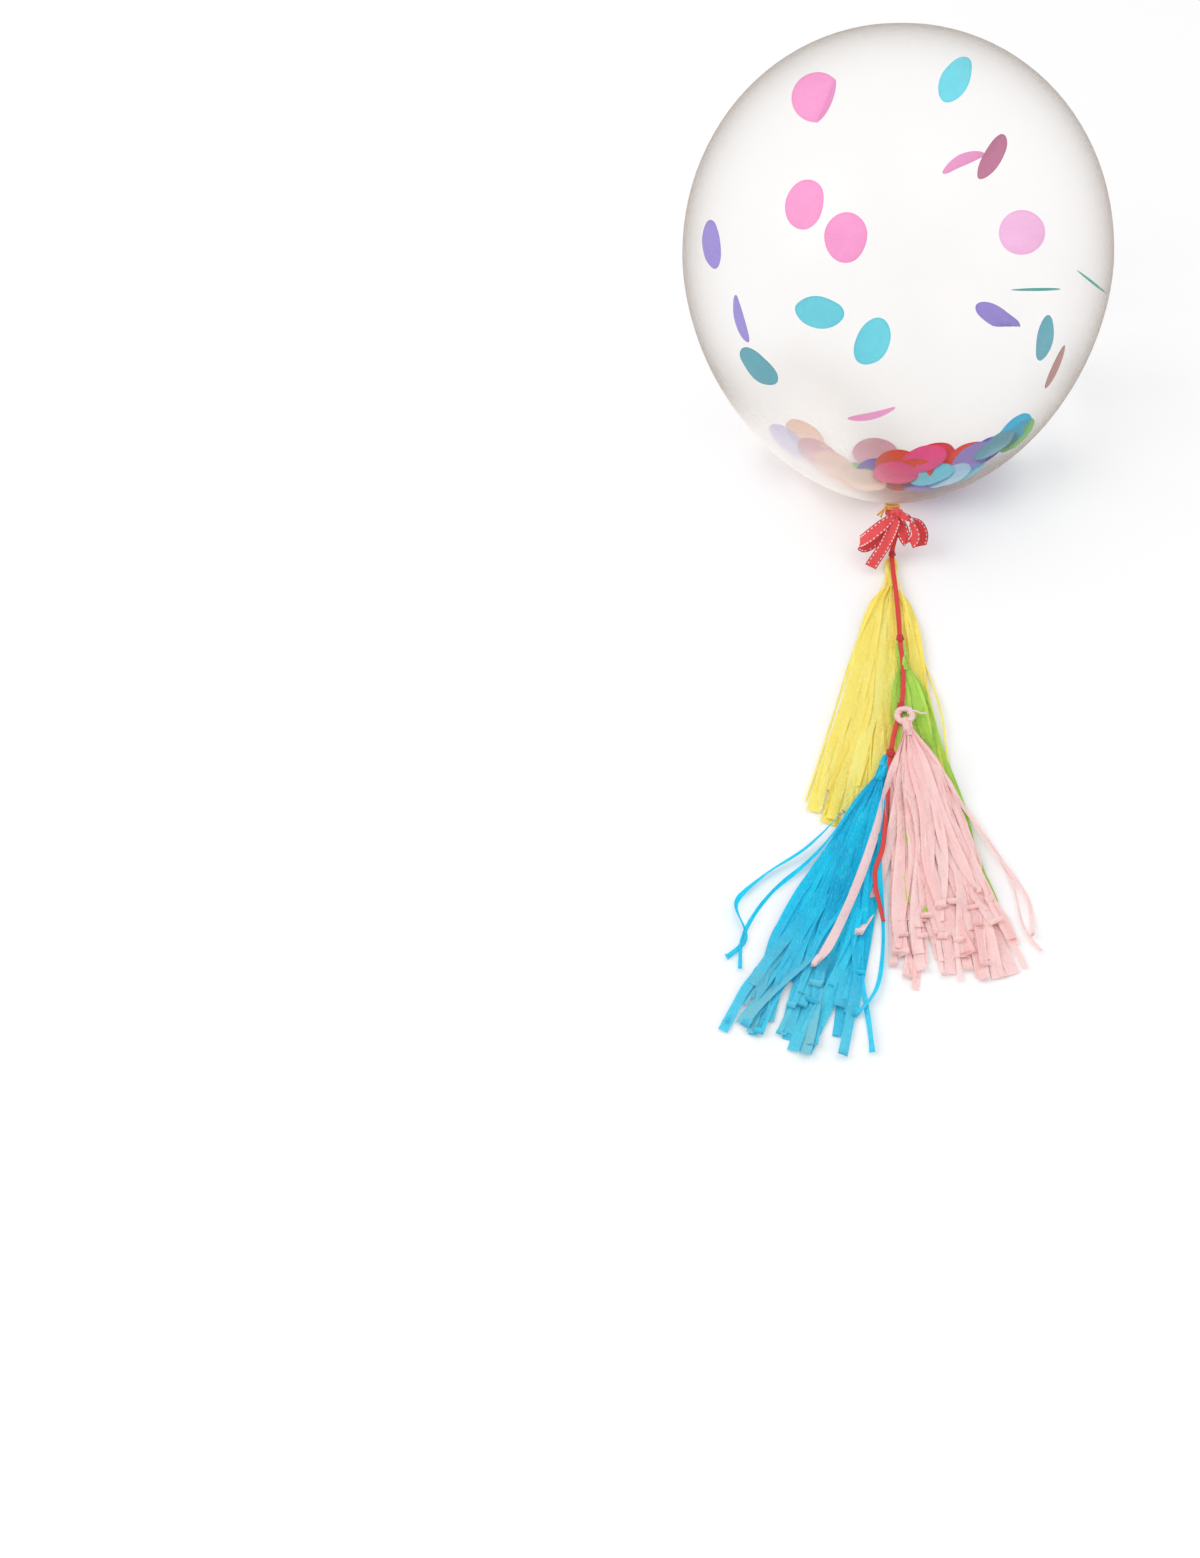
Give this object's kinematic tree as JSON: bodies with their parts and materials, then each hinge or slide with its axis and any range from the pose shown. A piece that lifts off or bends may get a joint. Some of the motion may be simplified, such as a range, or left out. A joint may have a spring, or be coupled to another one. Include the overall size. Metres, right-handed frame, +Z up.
{
  "type": "clear latex balloon with tissue tassel tail",
  "caption": "Clear teardrop latex balloon with tissue confetti inside, a stitched ribbon bow at its tied neck and a tail of tissue paper tassels on a satin line, lying loose.",
  "frame": {"origin": "centre of the flat spot under the balloon, on the ground", "axes": "+Z up, -Y from the balloon along its tail, +X to the right as seen from the tail's end"},
  "size_m": [0.6, 1.416, 0.6176],
  "materials": {
    "clear_latex": "clear, glossy, thin film",
    "golden_cord": "twisted cord",
    "red_stitched_ribbon": "woven, with white running stitches along both edges",
    "red_satin_line": "satin ribbon",
    "yellow_tissue": "matt tissue paper",
    "green_tissue": "matt tissue paper",
    "blue_tissue": "matt tissue paper",
    "pink_tissue": "matt tissue paper"
  },
  "bodies": {
    "root": {"balloon": "clear_latex", "neck_tie_cord": "golden_cord", "ribbon_bow": "red_stitched_ribbon", "hanging_line": "red_satin_line", "yellow_tassel": "yellow_tissue", "green_tassel": "green_tissue", "blue_tassel": "blue_tissue", "pink_tassel": "pink_tissue"}
  },
  "joints": []
}
